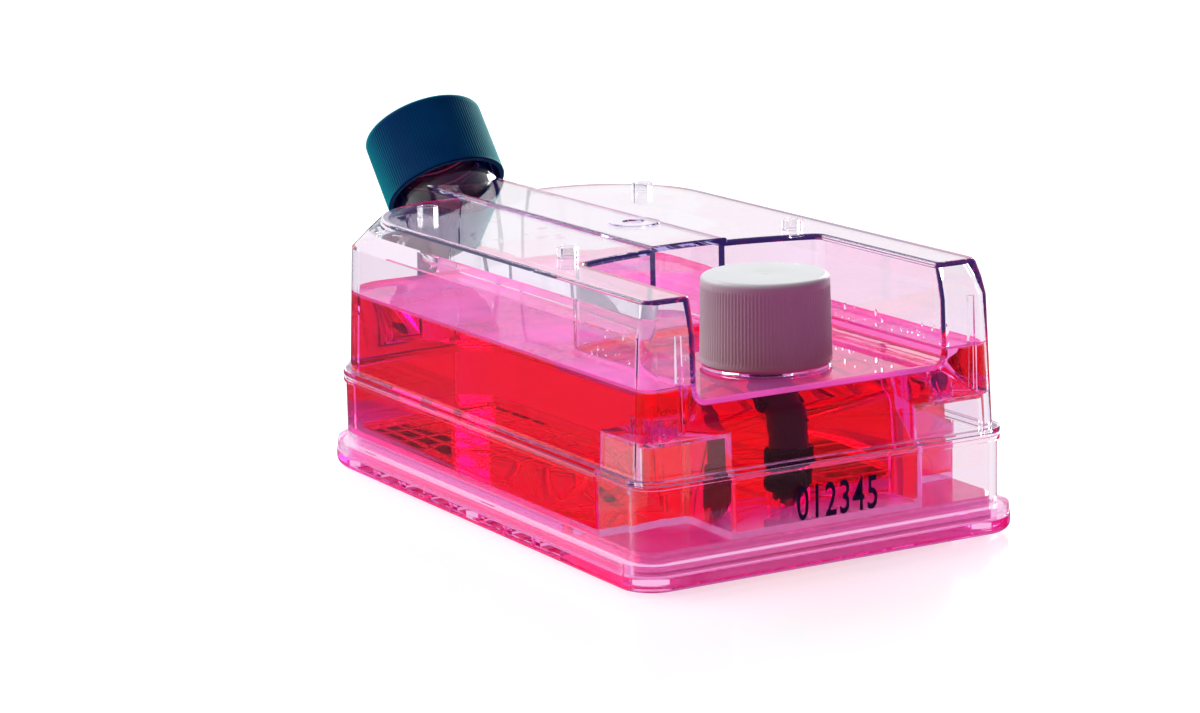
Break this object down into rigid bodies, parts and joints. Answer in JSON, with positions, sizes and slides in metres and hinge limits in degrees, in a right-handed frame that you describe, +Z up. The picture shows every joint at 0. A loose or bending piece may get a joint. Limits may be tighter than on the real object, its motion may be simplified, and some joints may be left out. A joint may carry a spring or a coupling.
{
  "type": "cell culture flask",
  "caption": "Membrane cell culture flask: clear box of red medium over a cell compartment, with a white port cap in an open bay and a teal cap on a tilted neck.",
  "frame": {"origin": "centre of the base tray's footprint, on the plane that the feet stand on", "axes": "+Z up, +Y from the bay and port cap at the front to the medium neck at the rear, +X to the right seen from the front"},
  "size_m": [0.1, 0.2021, 0.0837],
  "materials": {
    "clear_plastic": "clear",
    "grid_plastic": "satin",
    "frame_plastic": "clear",
    "silicone": "smooth",
    "membrane": "matt",
    "cell_fluid": "liquid",
    "red_medium": "liquid",
    "black_plastic": "satin",
    "boot_rubber": "bristled",
    "white_plastic": "satin, ribbed",
    "teal_plastic": "satin, ribbed",
    "liner_foam": "matt"
  },
  "bodies": {
    "flask": {"base_tray": "clear_plastic", "lower_housing": "clear_plastic", "upper_housing": "clear_plastic", "lower_support_grid": "grid_plastic", "upper_support_grid": "grid_plastic", "gas_membrane": "silicone", "dialysis_membrane": "membrane", "cell_frame": "frame_plastic", "cell_fluid": "cell_fluid", "nutrient_medium": "red_medium", "port_tube": "black_plastic", "port_ring": "black_plastic", "port_collar": "black_plastic", "port_sleeve": "black_plastic", "port_boot": "boot_rubber"},
    "port_cap_lift": {"port_cap_liner": "liner_foam"},
    "port_cap_turn": {"port_cap": "white_plastic"},
    "medium_cap_lift": {"medium_cap_liner": "liner_foam"},
    "medium_cap_turn": {"medium_cap": "teal_plastic"}
  },
  "joints": [
    {"name": "port_cap_rise", "type": "slide", "parent": "flask", "child": "port_cap_lift", "axis": [0, 0, 1], "range_m": [0, 0.006]},
    {"name": "port_cap_unscrew", "type": "hinge", "parent": "port_cap_lift", "child": "port_cap_turn", "pos_m": [0, -0.0515, 0.041], "axis": [0, 0, 1], "range_deg": [0, 540.5]},
    {"name": "medium_cap_rise", "type": "slide", "parent": "flask", "child": "medium_cap_lift", "axis": [0, 0.6441, 0.7649], "range_m": [0, 0.006]},
    {"name": "medium_cap_unscrew", "type": "hinge", "parent": "medium_cap_lift", "child": "medium_cap_turn", "pos_m": [0, 0.0984, 0.059], "axis": [0, 0.6441, 0.7649], "range_deg": [0, 540.5]}
  ],
  "couplings": [
    {"joint": "port_cap_unscrew", "follows": "port_cap_rise", "rad_per_m": 1570.8},
    {"joint": "medium_cap_unscrew", "follows": "medium_cap_rise", "rad_per_m": 1570.8}
  ]
}
